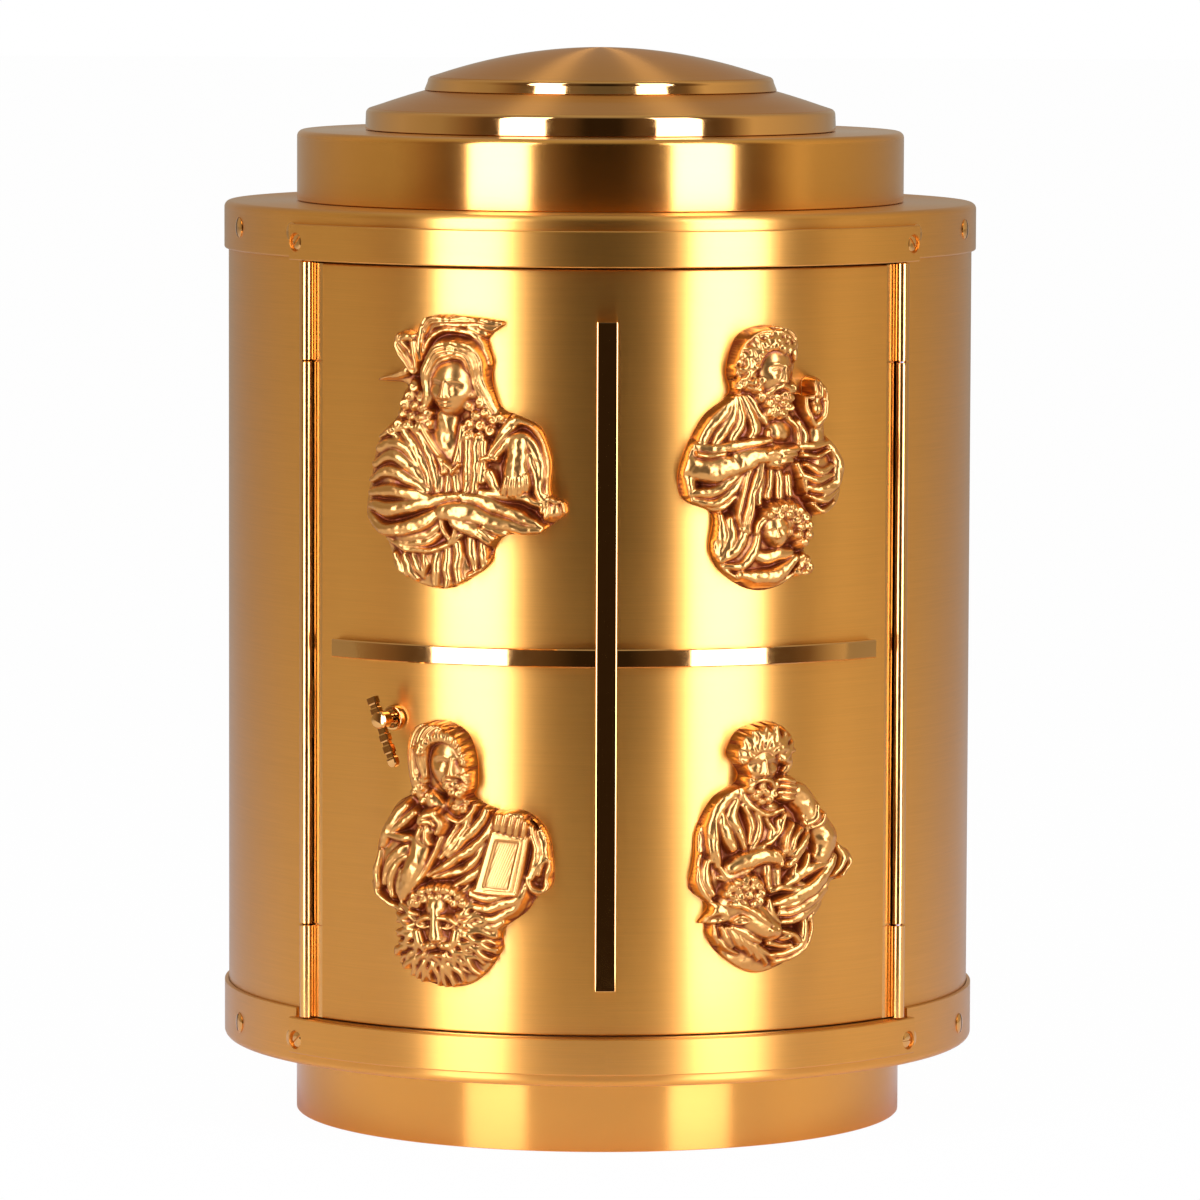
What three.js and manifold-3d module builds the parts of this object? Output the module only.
// Altar tabernacle: a round brass cabinet on a base ring, with one curved door,
// a skirted pan below and above, a drum and two saucer domes.
// Millimetres, +Z up, origin at the middle of the base, door towards -Y.
import * as THREE from 'three';
import { mergeVertices } from 'three/addons/utils/BufferGeometryUtils.js';
import Module from 'manifold-3d';

const wasm = await Module();
wasm.setup();

// Driving dimensions, sheet and clearances
const seat = 0.3;
const capRadius = 177.8;
const panSheet = 1.75;
const shellSheet = 2;
const plateSheet = 3;
const sides = 48;

// Base
const plinthRadius = 143.5;
const plinthSheet = 2;
const plinthHeight = 35;
const plinthRim = 11.5;
const basePlateHoles = { count: 4, radius: 5, circle: 110 };
const standClearance = 4;
const postRadius = 6;
const spacerRadius = 8;
const standAngles = [90, 210, 330];

// Heights of the cabinet
const floorStand = 17.35;
const openingHeight = 351.2;
const ceilingStand = 17.65;
const lowerSkirtOverSill = 4;
const upperSkirtOverHead = 0.7;
const panCorner = 3;

// Door opening, angles in degrees either side of the front
const openingAngle = 52.4;
const skirtNotchAngle = 52.9;
const doorAngle = 47.5;
const doorSillGap = 0.8;
const doorHeadGap = 1.5;
const doorDepth = 12;
const doorEdgeSheet = 1.6;
const backPlateSheet = 1.9;
const backPlateInset = 0.5;

// Chamber
const lockSpace = 9.55;
const linerSheet = 2;
const linerFromAngle = 53;
const chamberFloorSheet = 2;
const jambFlange = 19;

// Hinge, real on the right and false on the left
const hingeProud = 1.25;
const hingeAngle = 50.7;
const knuckleRadius = 3.2;
const pinRadius = 1.5;
const pinClearance = 0.3;
const lowerKnuckle = 43.3;
const upperKnuckle = 45.4;
const knuckleGap = 0.6;
const leafSheet = 1.7;
const leafDepth = 7.2;
const flangeClearance = 0.6;
const hingeSides = 12;

// Strips and screws
const stripAngle = 53.6;
const stripHeight = 16.6;
const stripSheet = 2.6;
const stripReveal = 0.4;
const stripScrew = { angle: 52, sillRise: 6.4, headRise: 8.3, head: 3.6, shank: 1.6, sink: 1, proud: 0.65 };
const skirtScrew = { radius: 4.6, proud: 1.2, angles: [53.8, 72.2, 108, 144, 180] };
const skirtScrewInset = 12;

// Drum, domes and their tie
const drumHeight = 33;
const drumSheet = 2;
const lowerDome = { rim: 111.3, rimHeight: 7.8, corner: 2.7, sphere: 297, sheet: 2, taper: 0.3 };
const upperDome = { rim: 83.3, rimHeight: 4.3, corner: 2.5, sphere: 229, sheet: 2, taper: 1.5 };
const domeRings = 3;
const tieRadius = 3;
const tieHead = { radius: 9, thick: 2 };
const tieNut = { radius: 6, height: 5 };
const tieTail = 2.3;
const tieClearance = 0.6;

// Cross on the door
const upright = { width: 9.5, overSill: 21.5, underHead: 24.7, proud: 5.45 };
const beam = { angle: 44.07, heightShare: 0.49445, height: 8.3, proud: 3.85 };
const crossStud = { radius: 1.6, length: 6 };
const studInset = 30;
const studShare = 0.75;

// Lock and key
const lockAngle = -33;
const lockUnderBeam = 30.25;
const lockCollar = { radius: 5.9, proud: 2.85 };
const lockBarrel = 5.2;
const plugRadius = 3.6;
const lockCase = { left: 34, right: 14, below: 16.2, above: 10.5, depth: 14.55, wall: 2.5, lid: 4.55 };
const cam = { throw: 9.5, pin: 1.5, width: 5, thick: 1.3 };
const bolt = { inset: 10.55, thick: 4, half: 6, tipTurn: 15.19, tail: 6 };
const boltClearance = 0.3;
const camSlack = 2.1;
const camClearance = 0.5;
const bladeHalf = { wide: 2.3, thin: 0.8 };
const keyGrip = { proud: 9.95, thick: 4, width: 5, upArm: 12.5, downArm: 21.2, tilt: 22, hub: 4, drop: 1.5 };
const keyDepth = 15;
const keeper = { half: 14, farTurn: 19.19, nearTurn: 17.09, inset: 13.55, depth: 10 };
const stopDepth = 2.3;
const stopReach = 6.6;
const stopInset = 30;

// Reliefs on the door: middle as angle and height, outline and raised forms in
// millimetres along the door, up it, and out from it.
// A form is [along, up, out, half width, half height, half depth, tilt in degrees].
const reliefPlate = 2.6;
const reliefs = {
  relief_with_eagle: {
    angle: -21.35, underHead: 85.2,
    outline: [
      [-20.6, 59.8], [-12.5, 62.6], [-0.6, 62.5], [13.7, 61.1], [19.4, 59], [11.5, 52.1],
      [13.7, 41.9], [12.9, 33.4], [17.3, 21.5], [26, 17.4], [34.5, 13.3], [38.4, 6.5],
      [41, -3.7], [40.6, -17.3], [47.4, -21.5], [47.8, -26.7], [41.5, -31.4], [34.7, -36.2],
      [21.8, -36.5], [15.7, -40.9], [12.2, -50.4], [4.2, -56.6], [-5.8, -61.7], [-16, -61.7],
      [-25.7, -58.2], [-34.6, -49.6], [-39.8, -40.4], [-48.2, -33.1], [-50.6, -27.1],
      [-48.2, -13.2], [-44, 4.2], [-36.8, 12.2], [-31.2, 20.1], [-28.8, 30.5], [-43.5, 31.7],
      [-43, 33], [-29.8, 37.3], [-33.8, 44.9], [-34.8, 50.9], [-28.8, 55.3], [-22.5, 53.8],
    ],
    forms: [
      [0.2, -7.7, 1, 25.8, 25.6, 8.5, 0], [-28.9, -15.5, 2, 15.4, 21.4, 9, -8],
      [29.5, -6.1, 2, 10.6, 20.3, 8, 5], [-24.4, -30.6, 6, 19.4, 7.3, 6, 0],
      [16.4, -28.2, 8, 22.5, 6.4, 5, -14], [42.2, -25.2, 6, 5, 5, 5, 0],
      [26.6, -6.7, 8, 5.8, 11.1, 5, 0], [-2.9, 28.2, 8, 10.1, 16.5, 8, 0],
      [-17.8, 22.6, 4, 8.7, 15.3, 6.5, -10], [8.1, 22.1, 4, 7.8, 13.3, 6.5, 15],
      [-3.6, 39.9, 1, 16.3, 17, 4, 0], [-1.7, 57.6, 2, 18.5, 4.3, 4, -3],
      [-26, 46, 3, 7, 8.4, 5, 20], [-9.4, -46.5, 1, 22, 14.1, 6, 0],
    ],
  },
  relief_with_child: {
    angle: 23.25, underHead: 87.2,
    outline: [
      [2.5, 60.3], [12.7, 57.2], [17, 49.6], [16.6, 31.4], [21.5, 27.1], [21.9, 34.6],
      [27.3, 36.5], [33.4, 30.9], [35, 25.8], [31.5, 14.3], [35.7, 6.7], [42, -1],
      [43.2, -11.1], [41.1, -21.8], [33.9, -26.5], [27.8, -27.1], [26.8, -35.4], [22.9, -42.7],
      [26.9, -49.5], [27, -53.7], [18.2, -54.2], [9.7, -58.8], [-1.3, -60.5], [-11.2, -57.3],
      [-20.8, -49.6], [-24.2, -40.4], [-23, -25.5], [-36.2, -18.7], [-39.1, -8.8],
      [-36.3, 2.8], [-32.1, 11.8], [-26.2, 20.8], [-15.1, 29.7], [-16.5, 38.8],
      [-14.4, 50.3], [-9.1, 57.6],
    ],
    forms: [
      [-1.8, 4, 1, 27.6, 24.8, 8.5, 0], [-24.2, -1.9, 2, 12.9, 19.5, 8, -10],
      [29.3, -8.8, 2, 11.5, 15.6, 8, 0], [26.8, 24.8, 5, 5.7, 10.3, 5, 0],
      [-1.4, 2, 10, 14.7, 4.5, 5, 8], [-23.6, -5.8, 8, 12.3, 6.1, 5, 25],
      [0.1, 40.3, 7, 12.2, 15.7, 8.5, 5], [3.6, 24.9, 7, 7.4, 7.4, 7, 0],
      [8.4, -33.2, 8, 11.9, 9.9, 7.5, 0], [3.7, -49.1, 5, 16.3, 7, 6, -5],
      [-12.7, -40.3, 2, 9.4, 15.6, 6, 15], [-10.3, -17.9, 5, 5.2, 15.7, 5, 5],
    ],
  },
  relief_with_lion: {
    angle: -21.8, overSill: 83,
    outline: [
      [-13, 60.5], [-3.8, 59.7], [3.4, 54.9], [7.4, 44.9], [7.8, 32.2], [7, 26.2],
      [19.2, 20.7], [28.6, 21], [36.2, 17], [41.3, 9.5], [43.4, -2.3], [43, -13.4],
      [36.3, -18.6], [31.3, -25.5], [20.2, -34.3], [20.2, -42], [14.2, -52.4], [5.4, -59.6],
      [-5.4, -61.5], [-17.4, -59.2], [-27, -52.2], [-30, -44.7], [-28.1, -29.2],
      [-39.1, -24.9], [-45.3, -16.8], [-43.2, -3], [-39.1, 10.1], [-32.1, 21.6],
      [-22.3, 28.2], [-24.3, 39.1], [-23.3, 50.2], [-18.6, 57.7],
    ],
    forms: [
      [2.2, 1.6, 1, 26.9, 21.1, 8.5, 0], [-28.2, -4.6, 2, 12, 18.5, 8, -8],
      [34.5, 0.9, 2, 7.6, 16.6, 7, 5], [-5.1, 42.1, 8, 10, 15.2, 8.5, -4],
      [-13.7, 41.9, 3, 8.8, 16, 6, 0], [-1.4, 30.4, 7, 6.8, 6.8, 7, 0],
      [-12.2, 11.9, 10, 6.4, 8.5, 5, 0], [-19.3, -3.9, 7, 5.8, 12.8, 4.5, -20],
      [20.8, -1.1, 7, 8.6, 16, 4, -12], [24.9, 14.5, 10, 7.5, 4.3, 4, -10],
      [-6.8, -31.6, 8, 13.4, 14.4, 8.5, 0], [-4.7, -41.7, 2, 21.6, 17.7, 7, 0],
      [13.9, -23.4, 4, 15.5, 5.9, 5, 18],
    ],
  },
  relief_with_ox: {
    angle: 25.8, overSill: 86,
    outline: [
      [-4.5, 57.4], [4.5, 54.2], [9.2, 45.9], [6.4, 38], [5.6, 31.6], [13, 28],
      [22.7, 19.3], [27.7, 10.9], [31.8, 0.9], [39.1, -3.7], [41.8, -9.6], [37.1, -15.7],
      [29.9, -19.2], [24, -27.7], [19.2, -35.4], [19.2, -41.9], [13.5, -49.6], [2.5, -55.4],
      [-8.2, -58], [-17.7, -55.1], [-28.7, -46.6], [-32.9, -39.2], [-33.8, -34.3],
      [-37.1, -33.4], [-32.1, -26.3], [-39.6, -19.7], [-41.2, -15.6], [-38.8, -6],
      [-38.1, 7.6], [-34.8, 16.3], [-29.1, 24.2], [-19, 30.3], [-18.2, 35.1],
      [-23.3, 42.5], [-22.5, 47.3], [-17.5, 54.3],
    ],
    forms: [
      [-5, 2.7, 1, 24.1, 21.5, 8.5, 0], [-27.1, 1.2, 2, 9.7, 18.9, 8, -8],
      [20.5, 0.4, 4, 7.1, 14.5, 7, 10], [-8.8, 40.2, 8, 10.3, 13.5, 8.5, 4],
      [-8.4, 47.3, 5, 11.7, 7.3, 7, 0], [-7.7, 26.1, 7, 6.7, 6.8, 7, 0],
      [7.2, 25, 5, 9.7, 4.8, 5, -30], [8, 4.6, 10, 8.2, 6.4, 5, 40],
      [-8.2, -4.5, 8, 14.4, 4, 5, 12], [-13.9, -31.5, 8, 12.4, 8.9, 7, -20],
      [-18.8, -21.9, 7, 9, 7.3, 7, 0], [3, -41.6, 7, 6.5, 4.1, 5, -10],
      [12.5, -22.9, 4, 16.8, 6.4, 5, 30], [-9.5, -46, 2, 18.5, 9, 6, 0],
    ],
  },
};
const reliefTurn = 24;
const reliefBlank = 20;
const formSides = 6;
const formRings = 4;
const reliefStud = { radius: 2, length: 4.5, spread: 30 };

// Finishes
const satinBrass = { color: 0xb98546, roughness: 0.32, metalness: 1 };
const polishedBrass = { color: 0xd9ac5a, roughness: 0.12, metalness: 1 };
const castBrass = { color: 0xc08a42, roughness: 0.25, metalness: 1 };
const plainBrass = { color: 0xa87f3c, roughness: 0.45, metalness: 1 };
const steel = { color: 0x8d8f92, roughness: 0.4, metalness: 1 };

// Levels worked out from the sizes above
const panUnder = plinthHeight + seat;
const panInside = panUnder + panSheet;
const shellBottom = panInside + seat;
const floorUnder = shellBottom + floorStand + seat;
const sill = floorUnder + plateSheet;
const head = sill + openingHeight;
const ceilingTop = head + plateSheet;
const shellTop = ceilingTop + seat + ceilingStand;
const capUnder = shellTop + seat;
const capTop = capUnder + panSheet;
const drumBottom = capTop + seat;
const drumTop = drumBottom + drumHeight;
const lowerSkirtTop = sill + lowerSkirtOverSill;
const upperSkirtBottom = head + upperSkirtOverHead;
const sillStripTop = sill - stripReveal;
const headStripBottom = head - stripReveal;
const sillScrew = sillStripTop - stripHeight + stripScrew.sillRise;
const headScrew = headStripBottom + stripScrew.headRise;
const doorBottom = sill + doorSillGap;
const doorTop = head - doorHeadGap;

const beamMiddle = sill + beam.heightShare * openingHeight;
const beamBottom = beamMiddle - beam.height / 2;
const beamTop = beamMiddle + beam.height / 2;
const uprightBottom = sill + upright.overSill;
const uprightTop = head - upright.underHead;
const lockHeight = beamMiddle - lockUnderBeam;
const reliefHeight = ({ underHead, overSill }) => (underHead ? head - underHead : sill + overSill);

// Radii worked out from the sizes above
const bodyRadius = capRadius - panSheet - seat;
const shellInside = bodyRadius - shellSheet;
const plateRadius = shellInside - 0.35;
const doorInside = bodyRadius - shellSheet;
const doorRear = bodyRadius - doorDepth;
const backPlateFront = doorRear - seat;
const backPlateRear = backPlateFront - backPlateSheet;
const linerRadius = backPlateRear - lockSpace;
const stripInside = capRadius + seat;
const stripOutside = stripInside + stripSheet;
const chamberRadius = linerRadius - linerSheet;
const onDoor = bodyRadius + seat;
const standRadius = plinthRadius - plinthSheet - plinthRim - postRadius - standClearance;
const hingeRadius = bodyRadius + hingeProud;
const uprightFace = onDoor + upright.proud;
const beamFace = onDoor + beam.proud;
const caseBack = backPlateRear - lockCase.depth;
const caseFront = backPlateRear - lockCase.lid;
const boltRear = backPlateRear - bolt.inset;
const boltFront = boltRear + bolt.thick;
const keeperRear = backPlateRear - keeper.inset;
const keeperFront = keeperRear + keeper.depth;
const keyRear = onDoor + keyGrip.proud;

const toRadians = THREE.MathUtils.degToRad;
const aside = (radius, turn) => radius * Math.tan(toRadians(turn));
const boltTip = aside(boltRear, bolt.tipTurn);
const step = 360 / sides;
const arcToDegrees = (length, radius) => THREE.MathUtils.radToDeg(length / radius);

// A point of the faceted cylinder whose corners lie on the given radius
function onFacet(radius, angle) {
  const middle = step * (Math.floor(angle / step) + 0.5);
  const reach = radius * Math.cos(toRadians(step / 2)) / Math.cos(toRadians(angle - middle));
  return new THREE.Vector2(reach * Math.sin(toRadians(angle)), -reach * Math.cos(toRadians(angle)));
}

function arcPoints(radius, from, to) {
  const points = [onFacet(radius, from)];
  for (let k = Math.ceil(from / step + 1e-6); k * step < to - 1e-6; k += 1) {
    points.push(onFacet(radius, k * step));
  }
  points.push(onFacet(radius, to));
  return points;
}

// Closed, merged geometry with its faces pointing out
function closed(geometry) {
  const bare = geometry.index ? geometry.toNonIndexed() : geometry;
  bare.deleteAttribute('normal');
  bare.deleteAttribute('uv');
  const merged = mergeVertices(bare, 1e-4);
  const index = merged.index.array;
  const kept = [];
  for (let i = 0; i < index.length; i += 3) {
    const [a, b, c] = [index[i], index[i + 1], index[i + 2]];
    if (a !== b && b !== c && a !== c) {
      kept.push(a, b, c);
    }
  }
  merged.setIndex(kept);
  const position = merged.attributes.position;
  const [a, b, c] = [new THREE.Vector3(), new THREE.Vector3(), new THREE.Vector3()];
  let volume = 0;
  for (let i = 0; i < kept.length; i += 3) {
    a.fromBufferAttribute(position, kept[i]);
    b.fromBufferAttribute(position, kept[i + 1]);
    c.fromBufferAttribute(position, kept[i + 2]);
    volume += a.dot(b.cross(c));
  }
  if (volume < 0) {
    merged.setIndex(kept.reverse());
  }
  return merged;
}

function toSolid(geometry) {
  const merged = closed(geometry);
  return new wasm.Manifold(new wasm.Mesh({
    numProp: 3,
    vertProperties: new Float32Array(merged.attributes.position.array),
    triVerts: new Uint32Array(merged.index.array),
  }));
}

function toGeometry(solid) {
  const mesh = solid.getMesh();
  const geometry = new THREE.BufferGeometry();
  geometry.setAttribute('position', new THREE.BufferAttribute(new Float32Array(mesh.vertProperties), 3));
  geometry.setIndex(Array.from(mesh.triVerts));
  return geometry;
}

const join = (...solids) => solids.reduce((sum, solid) => sum.add(solid));
const cut = (solid, ...tools) => tools.reduce((rest, tool) => rest.subtract(tool), solid);

// Shapes about the cabinet's axis
function revolve(profile, count = sides) {
  const points = profile.map(([radius, height]) => new THREE.Vector2(radius, height));
  if (profile[0][0] > 0 || profile.at(-1)[0] > 0) {
    points.push(points[0].clone());
  }
  return toSolid(new THREE.LatheGeometry(points, count).rotateX(Math.PI / 2));
}

function extrudeUp(points, bottom, top) {
  const geometry = new THREE.ExtrudeGeometry(new THREE.Shape(points), { depth: top - bottom, bevelEnabled: false });
  return toSolid(geometry.translate(0, 0, bottom));
}

function sector(inner, outer, from, to, bottom, top) {
  const outline = [...arcPoints(outer, from, to), ...arcPoints(inner, from, to).reverse()];
  return extrudeUp(outline, bottom, top);
}

function upCylinder(radius, bottom, top, x, y, count = 10) {
  const geometry = new THREE.CylinderGeometry(radius, radius, top - bottom, count);
  return toSolid(geometry.rotateX(Math.PI / 2).translate(x, y, (bottom + top) / 2));
}

const polar = (radius, angle) => [radius * Math.sin(toRadians(angle)), -radius * Math.cos(toRadians(angle))];

// Shapes about a radial line: x along the wall, y up it, z out of it
function radialFrame(angle, height) {
  const along = new THREE.Vector3(Math.cos(toRadians(angle)), Math.sin(toRadians(angle)), 0);
  const out = new THREE.Vector3(Math.sin(toRadians(angle)), -Math.cos(toRadians(angle)), 0);
  const up = new THREE.Vector3(0, 0, 1);
  return new THREE.Matrix4().makeBasis(along, up, out).setPosition(0, 0, height);
}

const placed = (geometry, angle, height) => toSolid(geometry.applyMatrix4(radialFrame(angle, height)));

function radialCylinder(radius, from, to, angle, height, x = 0, y = 0, count = 10) {
  const geometry = new THREE.CylinderGeometry(radius, radius, to - from, count);
  return placed(geometry.rotateX(Math.PI / 2).translate(x, y, (from + to) / 2), angle, height);
}

function radialBox([x0, x1], [y0, y1], [z0, z1], angle, height) {
  const geometry = new THREE.BoxGeometry(x1 - x0, y1 - y0, z1 - z0);
  return placed(geometry.translate((x0 + x1) / 2, (y0 + y1) / 2, (z0 + z1) / 2), angle, height);
}

function radialRevolve(profile, angle, height, count = 16) {
  const points = profile.map(([radius, out]) => new THREE.Vector2(radius, out));
  points.push(points[0].clone());
  return placed(new THREE.LatheGeometry(points, count).rotateX(Math.PI / 2), angle, height);
}

// Rounded corner of a profile, from one height round to a smaller radius
function corner(radius, height, size, turn) {
  return [0, 0.5, 1].map((share) => {
    const sweep = share * Math.PI / 2;
    return [radius - size * (1 - Math.cos(sweep)), height + turn * size * (Math.sin(sweep) - 1)];
  });
}

// Base ring: an upright wall with a flange turned in at its top
function baseRing() {
  return revolve([
    [plinthRadius - plinthSheet, 0], [plinthRadius, 0],
    [plinthRadius, plinthHeight], [plinthRadius - plinthSheet - plinthRim, plinthHeight],
    [plinthRadius - plinthSheet - plinthRim, plinthHeight - plinthSheet],
    [plinthRadius - plinthSheet, plinthHeight - plinthSheet],
  ]);
}

function basePlate() {
  const disc = revolve([[0, 0], [plinthRadius - plinthSheet - seat, 0], [plinthRadius - plinthSheet - seat, plateSheet], [0, plateSheet]]);
  const holes = Array.from({ length: basePlateHoles.count }, (_, k) => {
    const [x, y] = polar(basePlateHoles.circle, 45 + k * 360 / basePlateHoles.count);
    return upCylinder(basePlateHoles.radius, -1, plateSheet + 1, x, y, 8);
  });
  return cut(disc, ...holes);
}

function stand(radius, bottom, top, angle) {
  const [x, y] = polar(standRadius, angle);
  return upCylinder(radius, bottom, top, x, y);
}

// Domed screw heads round a skirt, and the clearance holes of the strip's screws
function withScrews(pan, height, stripHeightAt) {
  const angles = skirtScrew.angles.flatMap((angle) => (angle < 180 ? [angle, -angle] : [angle]));
  const heads = angles.map((angle) => radialRevolve([
    [0, capRadius - 1.2], [skirtScrew.radius, capRadius - 1.2],
    [skirtScrew.radius, capRadius + skirtScrew.proud * 0.4], [0, capRadius + skirtScrew.proud],
  ], angle, height, 8));
  const holes = [-stripScrew.angle, stripScrew.angle].map((angle) =>
    radialCylinder(stripScrew.shank + seat, bodyRadius - 4, stripOutside, angle, stripHeightAt));
  return cut(join(pan, ...heads), ...holes);
}

function bottomPan() {
  const pan = revolve([
    [0, panUnder], ...corner(capRadius, panUnder, panCorner, -1).reverse(),
    [capRadius, lowerSkirtTop], [capRadius - panSheet, lowerSkirtTop],
    [capRadius - panSheet, panInside], [0, panInside],
  ]);
  const notch = sector(bodyRadius - 2, capRadius + 4, -skirtNotchAngle, skirtNotchAngle, sill - stripReveal, lowerSkirtTop + 1);
  return withScrews(cut(pan, notch), panUnder + skirtScrewInset, sillScrew);
}

function topPan() {
  const hole = tieRadius + tieClearance;
  const pan = revolve([
    [hole, capUnder], [capRadius - panSheet, capUnder],
    [capRadius - panSheet, upperSkirtBottom], [capRadius - panSheet / 2, upperSkirtBottom],
    [capRadius, upperSkirtBottom + panSheet / 2],
    ...corner(capRadius, capTop, panCorner, 1), [hole, capTop],
  ]);
  return withScrews(pan, capTop - skirtScrewInset + 1.2, headScrew);
}

function bodyShell() {
  const tube = revolve([
    [shellInside, shellBottom], [bodyRadius, shellBottom], [bodyRadius, shellTop], [shellInside, shellTop],
  ]);
  return cut(tube, sector(shellInside - 5, bodyRadius + 5, -openingAngle, openingAngle, sill, head));
}

const disc = (radius, bottom, top) => revolve([[0, bottom], [radius, bottom], [radius, top], [0, top]]);

function innerLiner() {
  return sector(chamberRadius, linerRadius, linerFromAngle, 360 - linerFromAngle, sill + seat, head - seat);
}

// Jamb: a folded post with its web beside the opening and both flanges turned back
function jamb(side) {
  const near = openingAngle - 0.1;
  const web = near + 0.75;
  const flange = near + arcToDegrees(jambFlange, plateRadius) + 0.4;
  const back = linerRadius + seat;
  const points = [
    ...arcPoints(plateRadius, near, flange), ...arcPoints(plateRadius - 2, web, flange).reverse(),
    ...arcPoints(back + 2, web, flange), ...arcPoints(back, near, flange).reverse(),
  ];
  const outline = points.map((point) => new THREE.Vector2(side * point.x, point.y));
  return extrudeUp(outline, sill + seat, head - seat);
}

function drum() {
  const hole = tieRadius + tieClearance;
  return revolve([
    [plinthRadius - drumSheet, drumBottom], [plinthRadius, drumBottom],
    ...corner(plinthRadius, drumTop, panCorner, 1), [hole, drumTop],
    [hole, drumTop - drumSheet], [plinthRadius - drumSheet, drumTop - drumSheet],
  ]);
}

// Saucer dome: an upright rim, a small corner and a spherical cap, flat inside for the tie's head
const headSeat = tieHead.radius + 1;
function domeTop(dome, base) {
  const edge = dome.rim - dome.taper - dome.corner;
  const top = base + dome.rimHeight + dome.corner * 0.9;
  return top + edge ** 2 / (2 * dome.sphere);
}

function domeProfile(dome, base, foot, hole, rings) {
  const apex = domeTop(dome, base);
  const edge = dome.rim - dome.taper - dome.corner;
  const inside = edge - dome.sheet * 0.6;
  const cap = (radius, down) => apex - down - radius ** 2 / (2 * dome.sphere);
  const outer = Array.from({ length: rings + 1 }, (_, k) => edge + (hole - edge) * k / rings);
  const inner = [headSeat, (headSeat + inside) / 2, inside];
  return [
    [dome.rim - dome.sheet, base + foot], [dome.rim, base],
    [dome.rim - dome.taper, base + dome.rimHeight],
    [dome.rim - dome.taper - dome.corner * 0.3, base + dome.rimHeight + dome.corner * 0.6],
    ...outer.map((radius) => [radius, cap(radius, 0)]),
    [hole, cap(headSeat, dome.sheet)],
    ...inner.map((radius) => [radius, cap(radius, dome.sheet)]),
  ];
}

const lowerDomeBase = drumTop + seat;
const lowerDomeApex = domeTop(lowerDome, lowerDomeBase);
const dropUnder = (radius) => radius ** 2 / (2 * lowerDome.sphere);
const upperDomeBase = lowerDomeApex - dropUnder(upperDome.rim) + seat;
const upperDomeFoot = dropUnder(upperDome.rim) - dropUnder(upperDome.rim - upperDome.sheet);
const upperDomeApex = domeTop(upperDome, upperDomeBase);

function dome(shape, base, foot, hole) {
  return revolve(domeProfile(shape, base, foot, hole, domeRings));
}

// Tie rod with a flat head under the upper dome, down through dome, drum and cap
const nutTop = capUnder - seat;
function tieRod() {
  const headTop = upperDomeApex - upperDome.sheet - headSeat ** 2 / (2 * upperDome.sphere) - seat;
  const headUnder = headTop - tieHead.thick;
  const foot = nutTop - tieNut.height - tieTail;
  return revolve([[0, foot], [tieRadius, foot], [tieRadius, headUnder], [tieHead.radius, headUnder], [tieHead.radius, headTop], [0, headTop]], 16);
}

function nut() {
  const body = upCylinder(tieNut.radius, nutTop - tieNut.height, nutTop, 0, 0, 6);
  return cut(body, upCylinder(tieRadius + seat, nutTop - tieNut.height - 1, nutTop + 1, 0, 0, 16));
}

// Strip over a skirt, pocketed for the skirt's end screws and sunk for its own
function strip(bottom, screwHeight, pocketHeight) {
  const bar = sector(stripInside, stripOutside, -stripAngle, stripAngle, bottom, bottom + stripHeight);
  const pocketTop = capRadius + skirtScrew.proud + seat;
  const pocketAngle = skirtScrew.angles[0];
  const tools = [-1, 1].flatMap((side) => [
    radialCylinder(skirtScrew.radius + seat, capRadius - 1, pocketTop, side * pocketAngle, pocketHeight),
    radialCylinder(stripScrew.shank + seat, capRadius - 1, stripOutside + 1, side * stripScrew.angle, screwHeight),
    radialCylinder(stripScrew.head + seat, stripOutside - stripScrew.sink, stripOutside + 2, side * stripScrew.angle, screwHeight),
  ]);
  return cut(bar, ...tools);
}

function stripScrewAt(side, height) {
  const angle = side * stripScrew.angle;
  const under = stripOutside - stripScrew.sink + seat;
  const face = under + stripScrew.proud;
  const headPart = radialCylinder(stripScrew.head, under, face, angle, height);
  return join(headPart, radialCylinder(stripScrew.shank, bodyRadius + 0.55, under + 0.2, angle, height, 0, 0, 8));
}

// Hinge leaves, built for the right side and mirrored for the false hinge
const knuckleTop = headStripBottom - stripReveal;
const knuckleBottom = sillStripTop + 0.5;
const [hingeX, hingeY] = polar(hingeRadius, hingeAngle);
const bore = pinRadius + pinClearance;

function knuckle(bottom, top) {
  return upCylinder(knuckleRadius, bottom, top, hingeX, hingeY, hingeSides);
}

const leafTurn = arcToDegrees(leafSheet, bodyRadius);

function doorLeaf() {
  const from = doorAngle + 0.1;
  const plate = sector(doorRear + 0.1, bodyRadius - 0.75, from, from + leafTurn, doorBottom, doorTop);
  const flangeEnd = hingeAngle - arcToDegrees(knuckleRadius + flangeClearance, bodyRadius);
  const flange = sector(bodyRadius - 2.25, bodyRadius - 0.55, from, flangeEnd, doorBottom, doorTop);
  const parts = [[knuckleBottom, knuckleBottom + lowerKnuckle], [knuckleTop - upperKnuckle, knuckleTop]].flatMap(([bottom, top]) => {
    const arm = sector(bodyRadius - 2.25, bodyRadius - 0.55, from, hingeAngle - 0.3, Math.max(bottom, doorBottom), Math.min(top, doorTop));
    return [knuckle(bottom, top), arm];
  });
  return cut(join(plate, flange, ...parts), upCylinder(bore, 0, shellTop, hingeX, hingeY, hingeSides));
}

function bodyLeaf() {
  const bottom = knuckleBottom + lowerKnuckle + knuckleGap;
  const top = knuckleTop - upperKnuckle - knuckleGap;
  const to = openingAngle - 0.2;
  const plate = sector(bodyRadius - leafDepth, bodyRadius + 0.75, to - leafTurn * 1.5, to, bottom, top);
  return cut(join(plate, knuckle(bottom, top)), upCylinder(bore, 0, shellTop, hingeX, hingeY, hingeSides));
}

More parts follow.
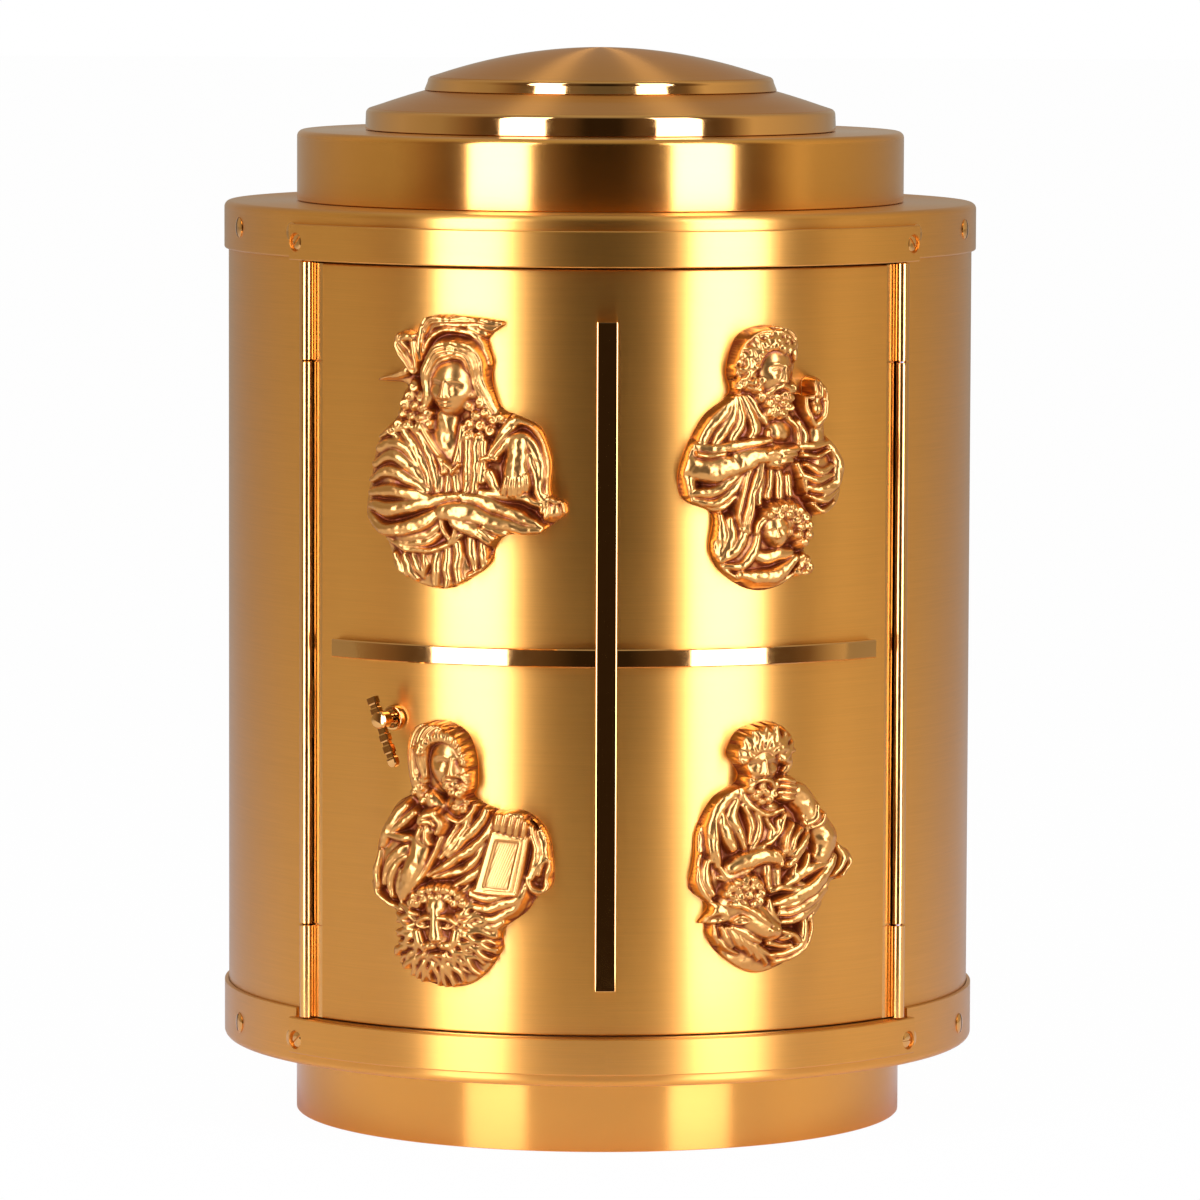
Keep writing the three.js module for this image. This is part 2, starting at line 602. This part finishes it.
const mirrored = (solid) => toSolid(toGeometry(solid).scale(-1, 1, 1));

// Door skin: a tray with its four edges turned in
function doorSkin() {
  const edge = arcToDegrees(doorEdgeSheet, bodyRadius);
  const outer = sector(doorRear, bodyRadius, -doorAngle, doorAngle, doorBottom, doorTop);
  const hollow = sector(doorRear - 1, doorInside, -doorAngle + edge, doorAngle - edge, doorBottom + doorEdgeSheet, doorTop - doorEdgeSheet);
  return cut(outer, hollow, ...studs(seat), lockHole());
}

const lockHole = () => radialCylinder(lockBarrel + seat, caseFront - 3, bodyRadius + 1, lockAngle, lockHeight, 0, 0, 16);

function backPlate() {
  const edge = doorAngle - seat;
  const plate = sector(backPlateRear, backPlateFront, -edge, edge, doorBottom + backPlateInset, doorTop - backPlateInset);
  return cut(plate, lockHole());
}

// Studs that hold cross and reliefs, from their backs through the door skin
function studPlaces() {
  const cross = [uprightBottom + studInset, uprightTop - studInset].map((height) => ({ owner: 'cross_upright', angle: 0, height, ...crossStud }));
  const arms = [-1, 1].map((side) => ({ owner: 'cross_beam', angle: side * beam.angle * studShare, height: beamMiddle, ...crossStud }));
  const casts = Object.entries(reliefs).flatMap(([owner, relief]) => [-1, 1].map((side) => ({
    owner, angle: relief.angle, height: reliefHeight(relief) + side * reliefStud.spread, radius: reliefStud.radius, length: reliefStud.length,
  })));
  return [...cross, ...arms, ...casts];
}

function studs(clearance, owner = null) {
  const own = studPlaces().filter((stud) => owner === null || stud.owner === owner);
  return own.map((stud) => radialCylinder(
    stud.radius + clearance, onDoor - stud.length - clearance, onDoor + 1.5 - clearance, stud.angle, stud.height, 0, 0, 8,
  ));
}

const doorFace = () => disc(onDoor, 0, drumTop);

function crossUpright() {
  const bar = radialBox([-upright.width / 2, upright.width / 2], [uprightBottom, uprightTop], [bodyRadius - 4, uprightFace], 0, 0);
  return join(cut(bar, doorFace()), ...studs(0, 'cross_upright'));
}

// The beam is one bent bar, notched where the upright passes in front of it
function crossBeam() {
  const bar = sector(onDoor, beamFace, -beam.angle, beam.angle, beamBottom, beamTop);
  return join(bar, ...studs(0, 'cross_beam'));
}

// The upright is slotted at its back for the beam
function uprightOverBeam() {
  const slot = sector(onDoor - 1, beamFace + seat, -6, 6, beamBottom - seat, beamTop + seat);
  return cut(crossUpright(), slot);
}

// Cast relief: a thin plate with the figure's outline, and the raised forms on it
function relief(name) {
  const { angle, outline, forms } = reliefs[name];
  const height = reliefHeight(reliefs[name]);
  const chord = (along) => onDoor * Math.sin(along / onDoor);
  const shape = new THREE.Shape(outline.map(([along, up]) => new THREE.Vector2(chord(along), up)));
  const block = new THREE.ExtrudeGeometry(shape, { depth: 2 * reliefBlank, bevelEnabled: false }).translate(0, 0, onDoor - reliefBlank);
  const wall = sector(onDoor, onDoor + reliefPlate, angle - reliefTurn, angle + reliefTurn, doorBottom, doorTop);
  const plate = placed(block, angle, height).intersect(wall);
  const raised = forms.map(([along, up, out, wide, high, deep, tilt]) => {
    const ball = new THREE.SphereGeometry(1, formSides, formRings);
    ball.rotateY(Math.PI / formSides);
    ball.scale(wide, high, deep);
    ball.rotateZ(toRadians(tilt));
    ball.translate(0, up, onDoor + out);
    return placed(ball, angle + arcToDegrees(along, onDoor), height);
  });
  return join(cut(join(plate, ...raised), doorFace()), ...studs(0, name));
}

// Lock case behind the door's back plate, open at the side for the bolt
function lockCaseBody() {
  const c = lockCase;
  const shell = radialBox([-c.left, c.right], [-c.below, c.above], [caseBack, backPlateRear + 5], lockAngle, lockHeight);
  const hollow = radialBox(
    [-c.left + c.wall, c.right - c.wall], [-c.below + c.wall, c.above - c.wall], [caseBack + c.wall, caseFront], lockAngle, lockHeight);
  const exit = radialBox(
    [-c.left - 2, -c.left + c.wall + 1], [-bolt.half - boltClearance, bolt.half + boltClearance],
    [boltRear - boltClearance, boltFront + boltClearance], lockAngle, lockHeight);
  const behindDoor = disc(backPlateRear - seat, 0, shellTop);
  return cut(shell.intersect(behindDoor), hollow, exit, lockHole());
}

function lockCylinder() {
  const inside = plugRadius + seat;
  return radialRevolve([
    [inside, caseFront + seat], [lockBarrel, caseFront + seat], [lockBarrel, onDoor],
    [lockCollar.radius, onDoor], [lockCollar.radius, onDoor + lockCollar.proud - 0.5],
    [lockCollar.radius - 0.5, onDoor + lockCollar.proud], [inside, onDoor + lockCollar.proud],
  ], lockAngle, lockHeight);
}

// Plug: the turning core, with a slot for the key's blade and a cam with its pin
const camRear = boltFront + camClearance;
function lockPlug() {
  const face = onDoor + lockCollar.proud - 0.2;
  const core = radialCylinder(plugRadius, camRear, face, lockAngle, lockHeight, 0, 0, 16);
  const slot = radialBox(
    [-bladeHalf.wide - seat, bladeHalf.wide + seat], [-bladeHalf.thin - seat, bladeHalf.thin + seat],
    [face - keyDepth - seat, face + 1], lockAngle, lockHeight);
  const arm = radialBox([-cam.width / 2, cam.width / 2], [-cam.throw - cam.pin - 1, 0], [camRear, camRear + cam.thick], lockAngle, lockHeight);
  const pin = radialCylinder(cam.pin, boltRear + 0.2, camRear + 0.5, lockAngle, lockHeight, 0, -cam.throw);
  return join(cut(core, slot), arm, pin);
}

function key() {
  const face = onDoor + lockCollar.proud - 0.2;
  const k = keyGrip;
  const blade = radialBox([-bladeHalf.wide, bladeHalf.wide], [-bladeHalf.thin, bladeHalf.thin], [face - keyDepth, face + 2], lockAngle, lockHeight);
  const stem = radialCylinder(bladeHalf.wide, face + seat, keyRear + 1, lockAngle, lockHeight);
  const hub = radialCylinder(k.hub, keyRear - 2, keyRear + k.thick + 0.8, lockAngle, lockHeight);
  const bar = new THREE.BoxGeometry(k.width, k.upArm + k.downArm, k.thick);
  bar.translate(0, (k.upArm - k.downArm) / 2, keyRear + k.thick / 2).rotateZ(toRadians(k.tilt)).translate(0, -k.drop, 0);
  return join(blade, stem, hub, placed(bar, lockAngle, lockHeight));
}

function lockBolt() {
  const b = bolt;
  const out = [boltRear, boltFront];
  const bar = radialBox([-boltTip, b.tail], [-b.half, b.half], out, lockAngle, lockHeight);
  const pinReach = cam.pin + boltClearance;
  const tail = radialBox([-camSlack - pinReach - 2.5, b.tail], [-cam.throw - pinReach - 1.7, 0], out, lockAngle, lockHeight);
  const slot = radialBox([-camSlack - pinReach, pinReach], [-cam.throw - pinReach, pinReach], [boltRear - 1, boltFront + 1], lockAngle, lockHeight);
  return cut(join(bar, tail), slot);
}

// Keeper on the left jamb, with the slot that the bolt shoots through
function keeperBlock() {
  const k = keeper;
  const right = -aside(keeperRear, k.nearTurn);
  const frontLeft = -aside(keeperFront, k.farTurn);
  const rearLeft = -aside(keeperRear, k.farTurn);
  const quad = [[right, keeperRear], [right, keeperFront], [frontLeft, keeperFront], [rearLeft, keeperRear]];
  const shape = new THREE.Shape(quad.map(([x, out]) => new THREE.Vector2(x, out)));
  const block = new THREE.ExtrudeGeometry(shape, { depth: 2 * k.half, bevelEnabled: false });
  block.rotateX(Math.PI / 2).translate(0, k.half, 0);
  const reach = boltClearance * 2;
  const pocket = radialBox(
    [frontLeft - 1, right + 1], [-bolt.half - reach, bolt.half + reach],
    [boltRear - reach, boltFront + reach], lockAngle, lockHeight);
  return cut(placed(block, lockAngle, lockHeight), pocket);
}

// Door stops on the left jamb, above and below the keeper
function doorStop(bottom, top) {
  const from = -(openingAngle - 0.2);
  const outer = backPlateRear - seat;
  return sector(outer - stopDepth, outer, from, from + stopReach, bottom, top);
}

// The assembly
const group = new THREE.Group();

function add(name, solid, finish) {
  const mesh = new THREE.Mesh(toGeometry(solid), new THREE.MeshStandardMaterial(finish));
  mesh.name = name;
  group.add(mesh);
}

const skirtScrewLow = panUnder + skirtScrewInset;
const skirtScrewHigh = capTop - skirtScrewInset + 1.2;
const stopGap = keeper.half + 6;

add('base_ring', baseRing(), satinBrass);
add('base_plate', basePlate(), plainBrass);
standAngles.forEach((angle, k) => {
  add(`base_post_${k + 1}`, stand(postRadius, plateSheet + seat, panUnder - seat, angle), steel);
  add(`floor_spacer_${k + 1}`, stand(spacerRadius, shellBottom, floorUnder - seat, angle), steel);
  add(`ceiling_spacer_${k + 1}`, stand(spacerRadius, ceilingTop + seat, shellTop, angle), steel);
});
add('bottom_pan', bottomPan(), satinBrass);
add('floor_plate', disc(plateRadius, floorUnder, sill), plainBrass);
add('chamber_floor', disc(chamberRadius - seat, sill + seat, sill + seat + chamberFloorSheet), polishedBrass);
add('body_shell', bodyShell(), satinBrass);
add('inner_liner', innerLiner(), polishedBrass);
add('left_jamb', jamb(-1), satinBrass);
add('right_jamb', jamb(1), satinBrass);
add('ceiling_plate', disc(plateRadius, head, ceilingTop), plainBrass);
add('top_pan', topPan(), satinBrass);
add('drum', drum(), satinBrass);
add('lower_dome', dome(lowerDome, lowerDomeBase, 0, tieRadius + tieClearance), satinBrass);
add('upper_dome', dome(upperDome, upperDomeBase, upperDomeFoot, 0), satinBrass);
add('dome_tie_rod', tieRod(), steel);
add('dome_tie_nut', nut(), steel);
add('sill_strip', strip(sillStripTop - stripHeight, sillScrew, skirtScrewLow), satinBrass);
add('header_strip', strip(headStripBottom, headScrew, skirtScrewHigh), satinBrass);
add('sill_screw_left', stripScrewAt(-1, sillScrew), polishedBrass);
add('sill_screw_right', stripScrewAt(1, sillScrew), polishedBrass);
add('header_screw_left', stripScrewAt(-1, headScrew), polishedBrass);
add('header_screw_right', stripScrewAt(1, headScrew), polishedBrass);
add('hinge_body_leaf', bodyLeaf(), polishedBrass);
add('hinge_pin', upCylinder(pinRadius, knuckleBottom + 0.4, knuckleTop - 0.4, hingeX, hingeY), steel);
add('false_hinge_body_leaf', mirrored(bodyLeaf()), polishedBrass);
add('keeper', keeperBlock(), plainBrass);
add('door_stop_upper', doorStop(lockHeight + stopGap, head - stopInset), plainBrass);
add('door_stop_lower', doorStop(sill + stopInset, lockHeight - stopGap), plainBrass);
add('door_skin', doorSkin(), satinBrass);
add('door_back_plate', backPlate(), satinBrass);
add('hinge_door_leaf', doorLeaf(), polishedBrass);
add('false_hinge_door_leaf', mirrored(doorLeaf()), polishedBrass);
add('cross_upright', uprightOverBeam(), polishedBrass);
add('cross_beam', crossBeam(), polishedBrass);
Object.keys(reliefs).forEach((name) => add(name, relief(name), castBrass));
add('lock_case', lockCaseBody(), steel);
add('lock_cylinder', lockCylinder(), polishedBrass);
add('lock_plug', lockPlug(), polishedBrass);
add('key', key(), polishedBrass);
add('lock_bolt', lockBolt(), polishedBrass);

export default group;
